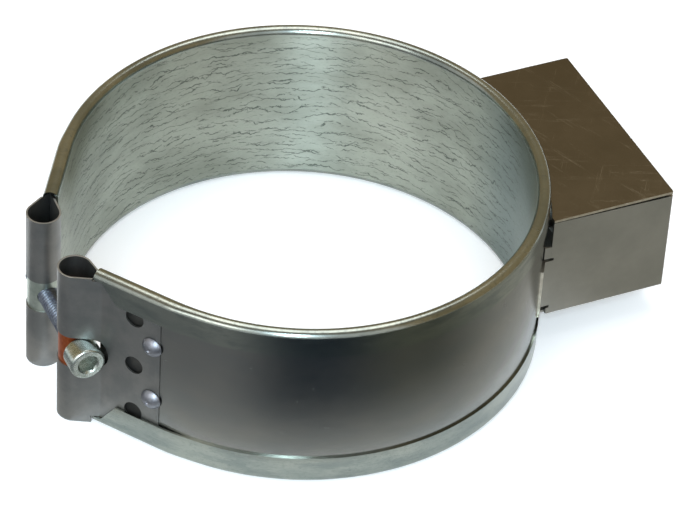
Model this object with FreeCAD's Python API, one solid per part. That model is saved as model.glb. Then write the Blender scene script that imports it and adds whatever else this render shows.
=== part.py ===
import FreeCAD, Part
import math
import os
from FreeCAD import Vector as V

os.makedirs("parts", exist_ok=True)

# Clamp-on band heater: a split sheet-metal band with hemmed rims, closed by one screw through
# two cross barrels held in folded loops, with a terminal box opposite the gap.
# Origin: centre of the bore. +Z along the band axis, +X to the terminal box, -X to the clamping
# gap; the screw runs along Y. Heights below are measured up from the lower rim, and save()
# brings the middle of the width to z = 0.

# ---------------------------------------------------------------- driving sizes (mm)
bore_r = 65.0            # inner radius of the band
width = 53.5             # over the two rounded rims
sheet = 0.6              # sheath and cover sheet
core = 2.0               # space between sheath and cover for the heating element
hem_top = 8.0            # width of the upper hem
hem_bottom = 8.8         # width of the lower hem
film_gap = 0.05          # hairline between stacked layers
rim_fill = 1.2           # depth of the closed fold in a rim

loop_x = -73.0           # loop axes, from the band axis
loop_y_head = 14.0       # loop on the screw head side, at -Y
loop_y_nut = 10.2        # loop on the threaded side, at +Y
loop_r = 5.1             # outer radius of a loop
leaf = 0.5               # clamp strip sheet
loop_sink = 0.1          # loop axis lies this far inside the tab's middle plane
loop_bend = 1.5          # bend radius where the leaves part
loop_angle = 28.0        # angle of the parting sides
loop_z0, loop_z1 = 0.0, 51.8
tab_z0, tab_z1 = 2.35, 51.1
tab_head, tab_nut = 28.0, 27.5     # tab ends, back from the loop axes
return_len = 16.6        # end of the hidden leaf, spot-welded behind the cover
end_back = 6.9           # band end, back from the loop axis
hole_back, hole_r, hole_pitch = 19.7, 2.85, 16.7
rivet_back, rivet_pitch = 25.5, 9.4
pattern_z = 26.6         # middle of holes and rivets on the tab
rivet_head_r, rivet_head_h, rivet_af = 3.1, 1.7, 3.2    # hidden shanks stay six-sided
window_h = 10.4          # height of the screw window in a loop
window_back = 11.4       # rounded end of the window, back from the loop axis
mitre_near, mitre_far = 9.6, 14.4

screw_z = 25.1           # screw axis height
screw_r = 3.0            # M6
head_r, head_h, key_af, key_d = 5.0, 6.0, 5.0, 3.0
screw_len = 35.0
barrel_clear = 0.1       # barrel in its loop, radial
barrel_half = 8.0        # half length of a cross barrel
head_hole_r = 3.3        # clearance hole in the head-side barrel
thread_clear = 0.05      # screw in the threaded barrel, radial
seat_gap = 0.05          # screw head over its barrel

box_t = 0.8              # box sheet
box_x0, box_x1 = 62.2, 98.8
box_bend, lid_corner = 0.7, 0.5    # outer bend of the walls, rounded corners of the lid
box_hy = 33.2            # half length of the box
box_z0, box_z1 = 9.2, 43.3
foot_z0, foot_z1, foot_deg = 12.2, 28.8, 4.4
notch = 0.9              # relief notches at both ends of a foot
lid_seam = 0.1           # lid over the side walls at the band end
rim_fall = 0.7           # the side walls fall away from the lid towards the outer wall
lid_lip, lid_fit = 6.0, 0.2
lid_edge_r = 69.7        # hollow edge of the lid

lead_y, lead_z, lead_w, lead_t = 8.0, 19.0, 2.4, 0.5
window_air = 2.5         # air round the leads where they pass the cover
block_x0, block_x1, block_hy, block_h = 79.5, 92.5, 15.0, 15.0
block_gap = 3.0                    # half width of the step between the two poles
block_screw_x, block_screw_af = 86.0, 3.0
clamp_hw, clamp_open, clamp_screw_af = 3.2, 1.6, 2.9
earth_x, earth_in, earth_screw_af = 76.0, 9.2, 4.0     # earth_in: from the side wall
screw_room = 0.1         # round a screw in its hole
entry_z, entry_bore, entry_r = 26.75, 4.0, 6.0
bush_in, collar_af, collar_h = 4.6, 17.0, 4.4
nut_af, nut_h, nut_gap = 15.0, 3.0, 0.05              # nut inside the outer wall
lid_back = 0.1           # lid edge inside the face of the outer wall

# ---------------------------------------------------------------- derived radii
r_sheath = bore_r + sheet
r_cover = r_sheath + core            # inside of the cover
r_skin = r_cover + sheet             # outside of the cover
r_hem = r_skin + sheet               # outside of a hem
n_mid = r_skin - sheet/2             # middle plane of the two tab leaves
n_loop = n_mid - loop_sink           # loop axis distance along the flat's normal
earth_y = earth_in - box_hy          # earth screw beside the side wall at -Y


def place(sg, yc, tab):
    """Flat end of the band on side sg: tangent angle, run from tangent point to loop axis, tab."""
    xc = -loop_x
    b = math.atan2(yc, xc) + math.acos(n_loop/math.hypot(xc, yc))
    return {"sg": sg, "b": b, "uc": xc*math.sin(b) - yc*math.cos(b), "yc": sg*yc, "tab": tab}


HEAD, NUT = place(-1, loop_y_head, tab_head), place(1, loop_y_nut, tab_nut)


def at(e, u, n, z):
    """Point on a flat end: u along the flat from its tangent point, n out from the band axis."""
    c, s = math.cos(e["b"]), math.sin(e["b"])
    return V(-c*n - s*u, e["sg"]*(s*n - c*u), z)


def along(e):
    return V(-math.sin(e["b"]), -e["sg"]*math.cos(e["b"]), 0)


def out(e):
    return V(-math.cos(e["b"]), e["sg"]*math.sin(e["b"]), 0)


def wire(*items):
    """Closed wire from points and (through, end) arcs."""
    start, cur, edges = items[0], items[0], []
    for it in items[1:] + (start,):
        if isinstance(it, tuple):
            edges.append(Part.Arc(cur, it[0], it[1]).toShape())
            cur = it[1]
        elif it.distanceToPoint(cur) > 1e-6:
            edges.append(Part.makeLine(cur, it))
            cur = it
    return Part.Wire(edges)


def slab(e, u0, u1, n0, n1, z0, z1):
    """Straight-sided block on a flat end."""
    w = wire(at(e, u0, n0, z0), at(e, u1, n0, z0), at(e, u1, n1, z0), at(e, u0, n1, z0))
    return Part.Face(w).extrude(V(0, 0, z1 - z0))


def prism_uz(e, pts, n0, n1):
    """Block with an outline in the plane of the flat, running from n0 to n1."""
    w = wire(*[at(e, u, n0, z) for u, z in pts])
    return Part.Face(w).extrude(out(e)*(n1 - n0))


def bar(x0, x1, y0, y1, z0, z1):
    return Part.makeBox(x1 - x0, y1 - y0, z1 - z0, V(x0, y0, z0))


def hexagon(af, h, base, axis):
    """Hexagonal prism standing on base along axis."""
    p = [V(af/math.sqrt(3)*math.cos(math.radians(60*k)), af/math.sqrt(3)*math.sin(math.radians(60*k)), 0)
         for k in range(6)]
    s = Part.Face(wire(*p)).extrude(V(0, 0, h))
    s.Placement = FreeCAD.Placement(base, FreeCAD.Rotation(V(0, 0, 1), axis))
    return s


def save(name, shape):
    solids = [s.removeSplitter() for s in shape.Solids]
    result = solids[0] if len(solids) == 1 else Part.makeCompound(solids)
    result.translate(V(0, 0, -width/2))
    result.exportStep("parts/%s.step" % name)


A0 = -180.0 + math.degrees(HEAD["b"])      # arc of the band, from the head side to the nut side
A1 = 180.0 - math.degrees(NUT["b"])


def turned(section, a0, a1):
    """Section drawn in the XZ plane, swept about the band axis from angle a0 to a1."""
    s = Part.Face(section).revolve(V(0, 0, 0), V(0, 0, 1), a1 - a0)
    s.rotate(V(0, 0, 0), V(0, 0, 1), a0)
    return s


def shell(n0, n1, z0, z1, a0=None, a1=None, run=(0.0, 0.0)):
    """Layer of the band: arc a0..a1 with optional flat runs at the head and nut ends."""
    a0, a1 = (A0 if a0 is None else a0), (A1 if a1 is None else a1)
    s = turned(wire(V(n0, 0, z0), V(n1, 0, z0), V(n1, 0, z1), V(n0, 0, z1)), a0, a1)
    for e, length in ((HEAD, run[0]), (NUT, run[1])):
        if length > 0:
            s = s.fuse(slab(e, 0, length, n0, n1, z0, z1))
    return s.removeSplitter()


# ---------------------------------------------------------------- sheath with folded hems
def fold(nc, zc, r, sign, turn):
    """Corners of a rim folded over in three flats about (nc, zc), full height on the middle one."""
    return [(nc - turn*r/2, zc + sign*r), (nc + turn*r/2, zc + sign*r)]


def hem_section(to3d, lift):
    """Section of the sheath: wall, two half-round rims and two hems, hems lifted by lift."""
    no = r_hem + lift
    rb = (no - bore_r)/2
    nc = (no + bore_r)/2
    w, t = width, sheet
    p = [(bore_r, rb), (bore_r, w - rb), *fold(nc, w - rb, rb, 1, 1),
         (no, w - rb), (no, w - hem_top), (no - t, w - hem_top), (no - t, w - rim_fill),
         (bore_r + t, w - rim_fill), (bore_r + t, rim_fill), (no - t, rim_fill),
         (no - t, hem_bottom), (no, hem_bottom), (no, rb),
         *fold(nc, rb, rb, -1, -1)]
    return wire(*[to3d(*a) for a in p])


def sheath():
    body = turned(hem_section(lambda n, z: V(n, 0, z), 0.0), A0, A1)
    for e in (HEAD, NUT):
        u1 = e["uc"] - e["tab"] - 0.4
        u2 = e["uc"] - end_back
        joggle = Part.makeLoft([hem_section(lambda n, z: at(e, 0.0, n, z), 0.0),
                                hem_section(lambda n, z: at(e, u1, n, z), leaf)], True, True)
        flat = Part.Face(hem_section(lambda n, z: at(e, u1, n, z), leaf)).extrude(along(e)*(u2 - u1))
        rb = (r_hem + leaf - bore_r)/2
        for edge, z in ((width - hem_top - 1, width - rb), (hem_bottom + 1, rb)):
            hem_z = edge + 1 if edge > width/2 else edge - 1
            flat = flat.cut(prism_uz(e, [(e["uc"] - mitre_near, z), (e["uc"] - mitre_far, hem_z),
                                         (e["uc"] - mitre_far, edge), (u2 + 1, edge), (u2 + 1, z)],
                                     r_skin + leaf - 0.2, r_hem + leaf + 1))
        body = body.fuse(joggle).fuse(flat)
    return body.removeSplitter()


# ---------------------------------------------------------------- clamp loops
def loop_side(e, h, r, bend, sgn):
    """Run of one strip face from the leaf to the loop: leaf line offset h, bend radius, loop radius r."""
    a = math.radians(loop_angle)
    x1 = -((r + bend) - (h + bend)*math.cos(a))/math.sin(a)
    mid = (x1 + bend*math.sin(a/2), h + bend*(1 - math.cos(a/2)))
    end = (x1 + bend*math.sin(a), h + bend*(1 - math.cos(a)))
    tan = (-r*math.sin(a), r*math.cos(a))
    return [(x, sgn*y) for x, y in ((x1, h), mid, end, tan)]


def clamp_loop(e):
    gap = sheet/2
    up, lo = loop_sink + gap, -(loop_sink - gap)      # leaf faces nearest the middle plane
    q = lambda p: at(e, e["uc"] + p[0], n_loop + p[1], loop_z0)
    ro, ri = loop_r, loop_r - leaf
    mid = leaf/2
    uo = loop_side(e, up + leaf, ro, loop_bend - mid, 1)
    ui = loop_side(e, up, ri, loop_bend + mid, 1)
    do = loop_side(e, lo + leaf, ro, loop_bend - mid, -1)
    di = loop_side(e, lo, ri, loop_bend + mid, -1)
    far = lambda r: (r, 0.0)
    w = wire(q((-e["tab"], up + leaf)), q(uo[0]), (q(uo[1]), q(uo[2])), q(uo[3]),
             (q(far(ro)), q(do[3])), q(do[2]), (q(do[1]), q(do[0])), q((-return_len, -(lo + leaf))),
             q((-return_len, -lo)), q(di[0]), (q(di[1]), q(di[2])), q(di[3]),
             (q(far(ri)), q(ui[3])), q(ui[2]), (q(ui[1]), q(ui[0])), q((-e["tab"], up)))
    s = Part.Face(w).extrude(V(0, 0, loop_z1 - loop_z0))
    # the tab is notched to pass inside the rims
    u_end = e["uc"] - end_back + 0.2
    s = s.cut(slab(e, -5, u_end, 60, 75, -1, tab_z0)).cut(slab(e, -5, u_end, 60, 75, tab_z1, 60))
    # window for the screw, open all the way round the loop
    uw = e["uc"] - window_back + window_h/2
    s = s.cut(slab(e, uw, e["uc"] + 8, n_loop - 8, n_loop + 8, screw_z - window_h/2,
                   screw_z + window_h/2))
    s = s.cut(Part.makeCylinder(window_h/2, 16, at(e, uw, n_loop - 8, screw_z), out(e)))
    for k in (-1, 0, 1):
        s = s.cut(Part.makeCylinder(hole_r, 3, at(e, e["uc"] - hole_back, n_mid, pattern_z + k*hole_pitch),
                                    out(e)))
    return s.cut(rivet_shanks(e, 64, 72))


def rivet_shanks(e, n0, n1):
    """Hidden shanks of the two rivets of a tab, and the holes that they fill."""
    return Part.makeCompound([hexagon(rivet_af, n1 - n0, at(e, e["uc"] - rivet_back, n0,
                                                            pattern_z + k*rivet_pitch), out(e))
                              for k in (-1, 1)])


def rivets(e):
    """Domed rivets that hold a tab to the cover."""
    top = r_skin + leaf
    tail = r_cover
    prof = [(0, 0), (rivet_head_r, 0)] + [(rivet_head_r*math.cos(math.pi*k/10),
                                            rivet_head_h*math.sin(math.pi*k/10)) for k in (2, 4)]
    prof.append((0, prof[-1][1]))
    dome = Part.Face(wire(*[V(x, 0, z) for x, z in prof])).revolve(
        V(0, 0, 0), V(0, 0, 1), 360)
    solids = []
    for k in (-1, 1):
        base = at(e, e["uc"] - rivet_back, 0, pattern_z + k*rivet_pitch)
        d = out(e)
        head = dome.copy()
        head.Placement = FreeCAD.Placement(base + d*top, FreeCAD.Rotation(V(0, 0, 1), d))
        shank = hexagon(rivet_af, top - tail + 0.4, base + d*(tail - 0.3), d)
        solids.append(head.fuse(shank).removeSplitter())
    return Part.makeCompound(solids)


# ---------------------------------------------------------------- cover
def lead_window(x0):
    """Opening under the terminal box that both leads come out through."""
    hy = lead_y + lead_w/2 + window_air
    return bar(x0, x0 + 8, -hy, hy, lead_z - lead_t/2 - window_air, lead_z + lead_t/2 + window_air)


def cover():
    ends = [e["uc"] - window_back - 1.2 for e in (HEAD, NUT)]
    s = shell(r_cover, r_skin, 2.25, width - 2.25, run=ends)
    for e in (HEAD, NUT):
        s = s.cut(rivet_shanks(e, 64, 72))
        # clearance behind the round holes of the tab, six-sided where it is out of sight
        for k in (-1, 0, 1):
            s = s.cut(hexagon(2*hole_r + 0.7, 8, at(e, e["uc"] - hole_back, 64, pattern_z + k*hole_pitch),
                              out(e)))
    return s.cut(lead_window(r_cover - 2))


# ---------------------------------------------------------------- heating element
core_a = 3.0                                   # degrees the element stops short of the flats
mica = 0.8
m_in = r_sheath + film_gap                     # inner mica
m_rib = m_in + mica                            # ribbon lies on the inner mica
ribbon_t = 0.2
m_out = m_rib + ribbon_t + film_gap            # outer mica
rib_z = (6.0, 47.0)
lane_gap = 1.6
slot_deg, slot_w, slot_root = 15.0, 2.0, 4.0


def ribbon():
    """One resistance ribbon: two lanes of meander joined at both ends, split at the leads."""
    a0, a1 = A0 + core_a, A1 - core_a
    s = shell(m_rib, m_rib + ribbon_t, rib_z[0], rib_z[1], a0, a1)
    zm = (rib_z[0] + rib_z[1])/2
    arc = shell(m_rib - 1, m_rib + 1, zm - lane_gap/2, zm + lane_gap/2, a0 + 2.4, a1 - 2.4)
    tools = [arc, bar(m_rib - 3, m_rib + 3, -2.2, 2.2, rib_z[0] - 1, zm)]
    half = int((min(-a0, a1) - 5.0)/slot_deg)
    for k in range(-half, half + 1):
        for lane, (z0, z1) in enumerate(((rib_z[0], zm - lane_gap/2), (zm + lane_gap/2, rib_z[1]))):
            if lane == 0 and abs(k) < 2:
                continue
            lo, hi = (z0 + slot_root, z1 + 0.5) if (k + lane) % 2 else (z0 - 1, z1 - slot_root)
            if lane == 1 and not (k + lane) % 2:
                lo = z0 - 0.5
            if lane == 1 and (k + lane) % 2:
                hi = z1 + 1
            b = bar(m_rib - 1, m_rib + 1, -slot_w/2, slot_w/2, lo, hi)
            b.rotate(V(0, 0, 0), V(0, 0, 1), k*slot_deg)
            tools.append(b)
    return s.cut(Part.makeCompound(tools))


def tube_x(x0, x1, y, z, r, bore=0.0):
    s = Part.makeCylinder(r, x1 - x0, V(x0, y, z), V(1, 0, 0))
    if bore:
        s = s.cut(Part.makeCylinder(bore, x1 - x0 + 2, V(x0 - 1, y, z), V(1, 0, 0)))
    return s


def leads():
    solids = []
    for y in (-lead_y, lead_y):
        x0 = math.sqrt((m_rib + ribbon_t)**2 - (abs(y) - lead_w/2)**2) + 0.02
        solids.append(bar(x0, block_x1 - 2.5, y - lead_w/2, y + lead_w/2,
                          lead_z - lead_t/2, lead_z + lead_t/2))
    return Part.makeCompound(solids)


# ---------------------------------------------------------------- cross barrels and screw
def barrel(e, hole):
    c = V(loop_x, e["yc"], screw_z - barrel_half)
    s = Part.makeCylinder(loop_r - leaf - barrel_clear, 2*barrel_half, c)
    return s.cut(Part.makeCylinder(hole, 20, V(loop_x, e["yc"] - 10, screw_z), V(0, 1, 0)))


def clamp_screw():
    y0 = HEAD["yc"] - (loop_r - leaf - barrel_clear) - seat_gap
    y = V(0, 1, 0)
    p = lambda dy: V(loop_x, y0 + dy, screw_z)
    head = Part.makeCylinder(head_r, head_h, p(-head_h), y)
    rim = [x for x in head.Edges if abs(x.CenterOfMass.y - (y0 - head_h)) < 1e-3]
    head = head.makeChamfer(0.45, rim[:1])
    shank = Part.makeCylinder(screw_r, screw_len, p(0), y)
    s = head.fuse(shank)
    s = s.cut(hexagon(key_af, key_d + 1, p(-head_h - 1), y))
    return s.cut(Part.makeCone(key_af/2*0.98, 0.0, 1.2, p(-head_h + key_d), y))


# ---------------------------------------------------------------- terminal box
wall_z1 = box_z1 - box_t - lid_seam


def housing():
    def outline(o):
        x1, hy, r = box_x1 - o, box_hy - o, box_bend - min(o, box_bend - 0.2)
        k = r*(1 - math.sqrt(0.5))
        return [V(box_x0, -hy, 0), V(x1 - r, -hy, 0), (V(x1 - k, -hy + k, 0), V(x1, -hy + r, 0)),
                V(x1, hy - r, 0), (V(x1 - k, hy - k, 0), V(x1 - r, hy, 0)), V(box_x0, hy, 0)]
    wrap = Part.Face(wire(*outline(0.0))).extrude(V(0, 0, wall_z1 - box_z0))
    hollow = Part.Face(wire(*outline(box_t))).extrude(V(0, 0, wall_z1 - box_z0))
    wrap = wrap.cut(hollow)
    wrap.translate(V(0, 0, box_z0))
    fall = wire(V(box_x0 - 1, -50, wall_z1), V(box_x1 + 1, -50, wall_z1 - rim_fall),
                V(box_x1 + 1, -50, wall_z1 + 5), V(box_x0 - 1, -50, wall_z1 + 5))
    wrap = wrap.cut(Part.Face(fall).extrude(V(0, 100, 0)))
    fy = box_hy - box_t - 0.1
    floor = bar(60, box_x1 - box_t/2, -fy, fy, box_z0, box_z0 + box_t)
    floor = floor.cut(Part.makeCylinder(r_skin + 0.3, 40, V(0, 0, -2)))
    s = wrap.fuse(floor)
    # short feet lying on the cover, bent outward from the side walls
    for sg in (-1, 1):
        deg = math.degrees(math.asin((box_hy - box_t)/(r_skin + box_t/2)))
        a = (-deg - foot_deg, -deg) if sg < 0 else (deg, deg + foot_deg)
        foot = shell(r_skin, r_skin + box_t, foot_z0, foot_z1, a[0], a[1])
        y0, y1 = sorted((sg*box_hy, sg*(box_hy - box_t)))
        neck = bar(56, box_x0 + 0.5, y0, y1, foot_z0, foot_z1)
        neck = neck.cut(Part.makeCylinder(r_skin, 60, V(0, 0, -2)))
        s = s.fuse(foot).fuse(neck)
        for z in (foot_z0 - notch, foot_z1):
            s = s.cut(bar(box_x0 - 2, box_x0 + notch, sg*box_hy - 2, sg*box_hy + 2, z, z + notch))
    for x, y, af in ((block_screw_x, 0.0, block_screw_af), (earth_x, earth_y, earth_screw_af)):
        s = s.cut(hexagon(af + 2*screw_room, 6, V(x, y, box_z0 - 2), V(0, 0, 1)))
    s = s.cut(Part.makeCylinder(entry_r + 0.1, 6, V(box_x1 - 4, 0, entry_z), V(1, 0, 0)))
    return s.removeSplitter()


def lid():
    z = box_z1 - box_t
    plate = bar(box_x0 - 6, box_x1 - lid_back, -box_hy, box_hy, z, box_z1)
    plate = plate.cut(Part.makeCylinder(lid_edge_r, 20, V(0, 0, z - 5)))
    plate = plate.cut(bar(box_x0 - 8, box_x0, -box_hy - 1, box_hy + 1, z - 1, box_z1 + 1))
    corners = [x for x in plate.Edges if abs(x.CenterOfMass.x - (box_x1 - lid_back)) < 1e-3
               and abs(abs(x.CenterOfMass.y) - box_hy) < 1e-3]
    plate = plate.makeFillet(lid_corner, corners)
    for sg in (-1, 1):
        y0, y1 = sorted((sg*(box_hy - box_t - lid_fit), sg*(box_hy - 2*box_t - lid_fit)))
        lip = bar(box_x0 + 6.5, box_x1 - 7, y0, y1, z - lid_lip, z + 0.2)
        plate = plate.fuse(lip)
    return plate.removeSplitter()


# ---------------------------------------------------------------- terminal block and fittings
fl = box_z0 + box_t


def block():
    s = bar(block_x0, block_x1, -block_hy, block_hy, fl, fl + block_h)
    s = s.cut(bar(block_x0 - 1, block_x1 + 1, -block_gap, block_gap, fl + 6, fl + block_h + 1))
    w = clamp_hw + 0.1
    for y in (-lead_y, lead_y):
        s = s.cut(bar(block_x0 - 1, block_x1 + 1, y - w, y + w, lead_z - w, fl + block_h + 1))
    return s.cut(hexagon(block_screw_af + 2*screw_room, 20, V(block_screw_x, 0, fl - 1), V(0, 0, 1)))


def clamps():
    """Square brass tubes that the leads and the mains wires end in."""
    solids = []
    for y in (-lead_y, lead_y):
        w, h = clamp_hw, clamp_open
        t = bar(block_x0 + 0.6, block_x1 - 0.6, y - w, y + w, lead_z - w, lead_z + w)
        t = t.cut(bar(block_x0 - 1, block_x1 + 1, y - h, y + h, lead_z - h, lead_z + h))
        solids.append(t.cut(hexagon(clamp_screw_af + 2*thread_clear, 10, V(block_screw_x, y, lead_z),
                                    V(0, 0, 1))))
    return Part.makeCompound(solids)


def slotted(x, y, z0, z1, shank_af, head_af, head):
    """Slotted hexagon-head screw standing on z0 with its head top at z1."""
    up = V(0, 0, 1)
    s = hexagon(shank_af, z1 - z0, V(x, y, z0), up).fuse(hexagon(head_af, head, V(x, y, z1 - head), up))
    return s.cut(bar(x - head_af, x + head_af, y - 0.35, y + 0.35, z1 - 0.8, z1 + 1)).removeSplitter()


def terminal_screws():
    """Slotted grub screws that press on the leads, shown six-sided."""
    solids = []
    for y in (-lead_y, lead_y):
        z0, z1 = lead_z + lead_t/2 + film_gap, lead_z + clamp_hw + 1.6
        g = hexagon(clamp_screw_af, z1 - z0, V(block_screw_x, y, z0), V(0, 0, 1))
        solids.append(g.cut(bar(block_screw_x - 3, block_screw_x + 3, y - 0.3, y + 0.3, z1 - 0.9, z1 + 1)))
    return Part.makeCompound(solids)


def entry_bush():
    """Entry bush with a hexagon collar, through the outer wall and held by a nut inside."""
    x = V(1, 0, 0)
    c = lambda px: V(px, 0, entry_z)
    x0 = box_x1 - box_t - bush_in
    s = Part.makeCylinder(entry_r, box_x1 + collar_h/2 - x0, c(x0), x)
    s = s.fuse(hexagon(collar_af, collar_h, c(box_x1), x))
    length = box_x1 + collar_h - x0
    return s.cut(Part.makeCylinder(entry_bore, length + 2, c(x0 - 1), x)).removeSplitter()


def bush_nut():
    x = V(1, 0, 0)
    x0 = box_x1 - box_t - nut_gap - nut_h
    s = hexagon(nut_af, nut_h, V(x0, 0, entry_z), x)
    return s.cut(Part.makeCylinder(entry_r + 0.03, nut_h + 2, V(x0 - 1, 0, entry_z), x))


# ---------------------------------------------------------------- all pieces
flats = [e["uc"] - window_back - 1.2 for e in (HEAD, NUT)]
save("inner_sheath", sheath())
save("outer_cover", cover())
save("inner_mica", shell(m_in, m_in + mica, 3.0, width - 3.0, run=flats))
save("resistance_ribbon", ribbon())
save("outer_mica", shell(m_out, m_out + mica, 4.0, width - 4.0, A0 + 1.5, A1 - 1.5).cut(lead_window(m_in)))
save("front_clamp_loop", clamp_loop(HEAD))
save("rear_clamp_loop", clamp_loop(NUT))
save("front_loop_rivets", rivets(HEAD))
save("rear_loop_rivets", rivets(NUT))
save("head_barrel", barrel(HEAD, head_hole_r))
save("thread_barrel", barrel(NUT, screw_r + thread_clear))
save("clamp_screw", clamp_screw())
save("box_housing", housing())
save("box_lid", lid())
save("element_leads", leads())
save("terminal_block", block())
save("terminal_clamps", clamps())
save("terminal_screws", terminal_screws())
save("block_screw", slotted(block_screw_x, 0.0, box_z0, fl + 6 + 2.2, block_screw_af, 5.5, 2.2))
save("earth_screw", slotted(earth_x, earth_y, box_z0 - 2.0, fl + 2.6, earth_screw_af, 7.0, 2.6))
save("entry_bush", entry_bush())
save("bush_nut", bush_nut())
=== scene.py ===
"""Clamp-on band heater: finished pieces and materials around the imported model."""
import math

import bmesh
import bpy
from mathutils import Matrix, Vector


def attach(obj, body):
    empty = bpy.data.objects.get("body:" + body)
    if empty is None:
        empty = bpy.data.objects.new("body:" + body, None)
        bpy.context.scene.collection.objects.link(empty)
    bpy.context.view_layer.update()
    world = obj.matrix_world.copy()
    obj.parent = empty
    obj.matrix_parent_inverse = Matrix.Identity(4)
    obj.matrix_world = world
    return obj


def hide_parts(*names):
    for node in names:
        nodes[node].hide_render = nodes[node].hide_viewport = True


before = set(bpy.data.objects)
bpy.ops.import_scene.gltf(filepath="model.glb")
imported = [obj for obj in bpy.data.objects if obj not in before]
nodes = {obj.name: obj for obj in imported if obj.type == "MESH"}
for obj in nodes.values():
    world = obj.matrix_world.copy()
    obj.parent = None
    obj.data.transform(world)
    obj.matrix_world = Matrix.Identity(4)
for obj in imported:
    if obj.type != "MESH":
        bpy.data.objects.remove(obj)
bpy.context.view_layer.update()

# ---------------------------------------------------------------- sizes in millimetres
MM = 0.001
WIDTH = 53.5
BOTTOM, TOP = -WIDTH/2, WIDTH/2
BORE_R, SHEET, LEAF = 65.0, 0.6, 0.5              # LEAF: sheet of the clamp strips
COVER_R0, COVER_R1, HEM_R = 67.6, 68.2, 68.8      # inside and outside of the cover, outside of a hem
COVER_IN = 2.25                                   # cover's edges, in from the rims
HEM_TOP, HEM_BOTTOM = 8.0, 8.8
HEM_RAMP, TAB_GAP = 9.0, 0.4                      # hems rise from before the flat to just before the tab
BAND_R = 67.0                                     # where distance round the band is measured
LOOP_X, LOOP_R, LOOP_MID = -73.0, 5.1, 67.8       # LOOP_MID: loop axis, out along the flat's normal
LEAF_UP, LEAF_DOWN = 0.65, 0.45                   # middles of the tab and of the hidden leaf, from LOOP_MID
LOOP_BEND, LOOP_ANGLE = 1.5, math.radians(28)
LOOP_Z0, LOOP_Z1 = BOTTOM, BOTTOM + 51.8
TAB_Z0, TAB_Z1 = BOTTOM + 2.35, BOTTOM + 51.1
TAB_LEN, RETURN_LEN, END_BACK = {-1: 28.0, 1: 27.5}, 16.6, 6.9
SCREW_Z = BOTTOM + 25.1
WINDOW_H, WINDOW_BACK = 10.4, 11.4
HOLE_BACK, HOLE_R, HOLE_PITCH = 19.7, 2.85, 16.7
RIVET_BACK, RIVET_PITCH, RIVET_R, RIVET_H = 25.5, 9.4, 3.1, 1.7
RIVET_SKIRT, PIT_R, PIT_DEPTH = 0.12, 0.42, 0.35  # rim under a dome, and the pit in its top
PATTERN_Z = BOTTOM + 26.6
MITRE_NEAR, MITRE_FAR = 9.6, 14.4
THROUGH = 8.0                                     # cutters reach this far to both sides of a loop's axis
BARREL_R, BARREL_HALF, BARREL_EDGE = LOOP_R - LEAF - 0.1, 8.0, 0.4
HEAD_R, HEAD_H, HEAD_EDGE, SCREW_LEN = 5.0, 6.0, 0.8, 35.0
KEY_AF, KEY_DEPTH, KEY_LEAD = 5.0, 3.0, 1.6       # KEY_LEAD: depth of the cone that leads into the socket
MAJOR_R, MINOR_R, PITCH = 3.0, 2.45, 1.0
BOX_HY = 33.2
WALL_FROM, WALL_OUT = 90.0, 0.9                   # what lies past WALL_FROM stands out by up to WALL_OUT
SHOULDER = (2.2, 0.7, 4.0)                        # plate above each foot of the box
SHOULDER_X, SHOULDER_Z, SHOULDER_IN = 61.2, BOTTOM + 31.8, 0.4


def place(sign, yc):
    """Flat end of the band: its angle, its run to the loop axis and the loop's place."""
    reach = math.hypot(LOOP_X, yc)
    b = math.atan2(yc, -LOOP_X) + math.acos(LOOP_MID/reach)
    return {"sign": sign, "b": b, "run": -LOOP_X*math.sin(b) - yc*math.cos(b), "y": sign*yc,
            "out": Vector((-math.cos(b), sign*math.sin(b), 0)),
            "along": Vector((-math.sin(b), -sign*math.cos(b), 0))}


HEAD, NUT = place(-1, 14.0), place(1, 10.2)
ARC_0 = math.radians(-180) + HEAD["b"]
ARC_1 = math.radians(180) - NUT["b"]


SCREW_SEAT = HEAD["y"] - BARREL_R - 0.05           # underside of the screw head, along Y


def on_flat(end, u, n, z):
    """Point on a flat end: u along it from its tangent point, n out from the band axis."""
    return end["along"]*u + end["out"]*n + Vector((0, 0, z))


def tab_edge(end):
    """Run from the tangent point to where the hems are fully raised, just before the tab."""
    return end["run"] - TAB_LEN[end["sign"]] - TAB_GAP


# ---------------------------------------------------------------- mesh helpers
def finish_piece(bm, name, body, material, replaces=(), smooth=32.0, cuts=(), bevel=0.0,
                 zone=None):
    """Turns a bmesh in millimetres into a piece that rides on a body."""
    bmesh.ops.remove_doubles(bm, verts=bm.verts, dist=1e-4)
    bmesh.ops.recalc_face_normals(bm, faces=bm.faces)
    bmesh.ops.scale(bm, vec=(MM, MM, MM), verts=bm.verts)
    mesh = bpy.data.meshes.new(name)
    bm.to_mesh(mesh)
    bm.free()
    piece = bpy.data.objects.new(name, mesh)
    bpy.context.scene.collection.objects.link(piece)
    if cuts:
        carve(piece, cuts)
    round_off(piece, smooth, bevel)
    piece.data.materials.clear()
    for m in (material if isinstance(material, (list, tuple)) else [material]):
        piece.data.materials.append(m)
    if zone:
        for face in piece.data.polygons:
            face.material_index = zone(face.center/MM, face.normal)
    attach(piece, body)
    if replaces:
        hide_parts(*replaces)
    return piece


def carve(piece, cutters):
    """Cuts closed tool shapes out of a piece and takes the result as its mesh."""
    tools = []
    for i, tool in enumerate(cutters):
        bmesh.ops.recalc_face_normals(tool, faces=tool.faces)
        bmesh.ops.scale(tool, vec=(MM, MM, MM), verts=tool.verts)
        mesh = bpy.data.meshes.new("tool_%d" % i)
        tool.to_mesh(mesh)
        tool.free()
        ob = bpy.data.objects.new("tool_%d" % i, mesh)
        bpy.context.scene.collection.objects.link(ob)
        cut = piece.modifiers.new("cut_%d" % i, "BOOLEAN")
        cut.operation, cut.solver, cut.object = "DIFFERENCE", "EXACT", ob
        tools.append(ob)
    apply_modifiers(piece)
    for ob in tools:
        bpy.data.objects.remove(ob)


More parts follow.
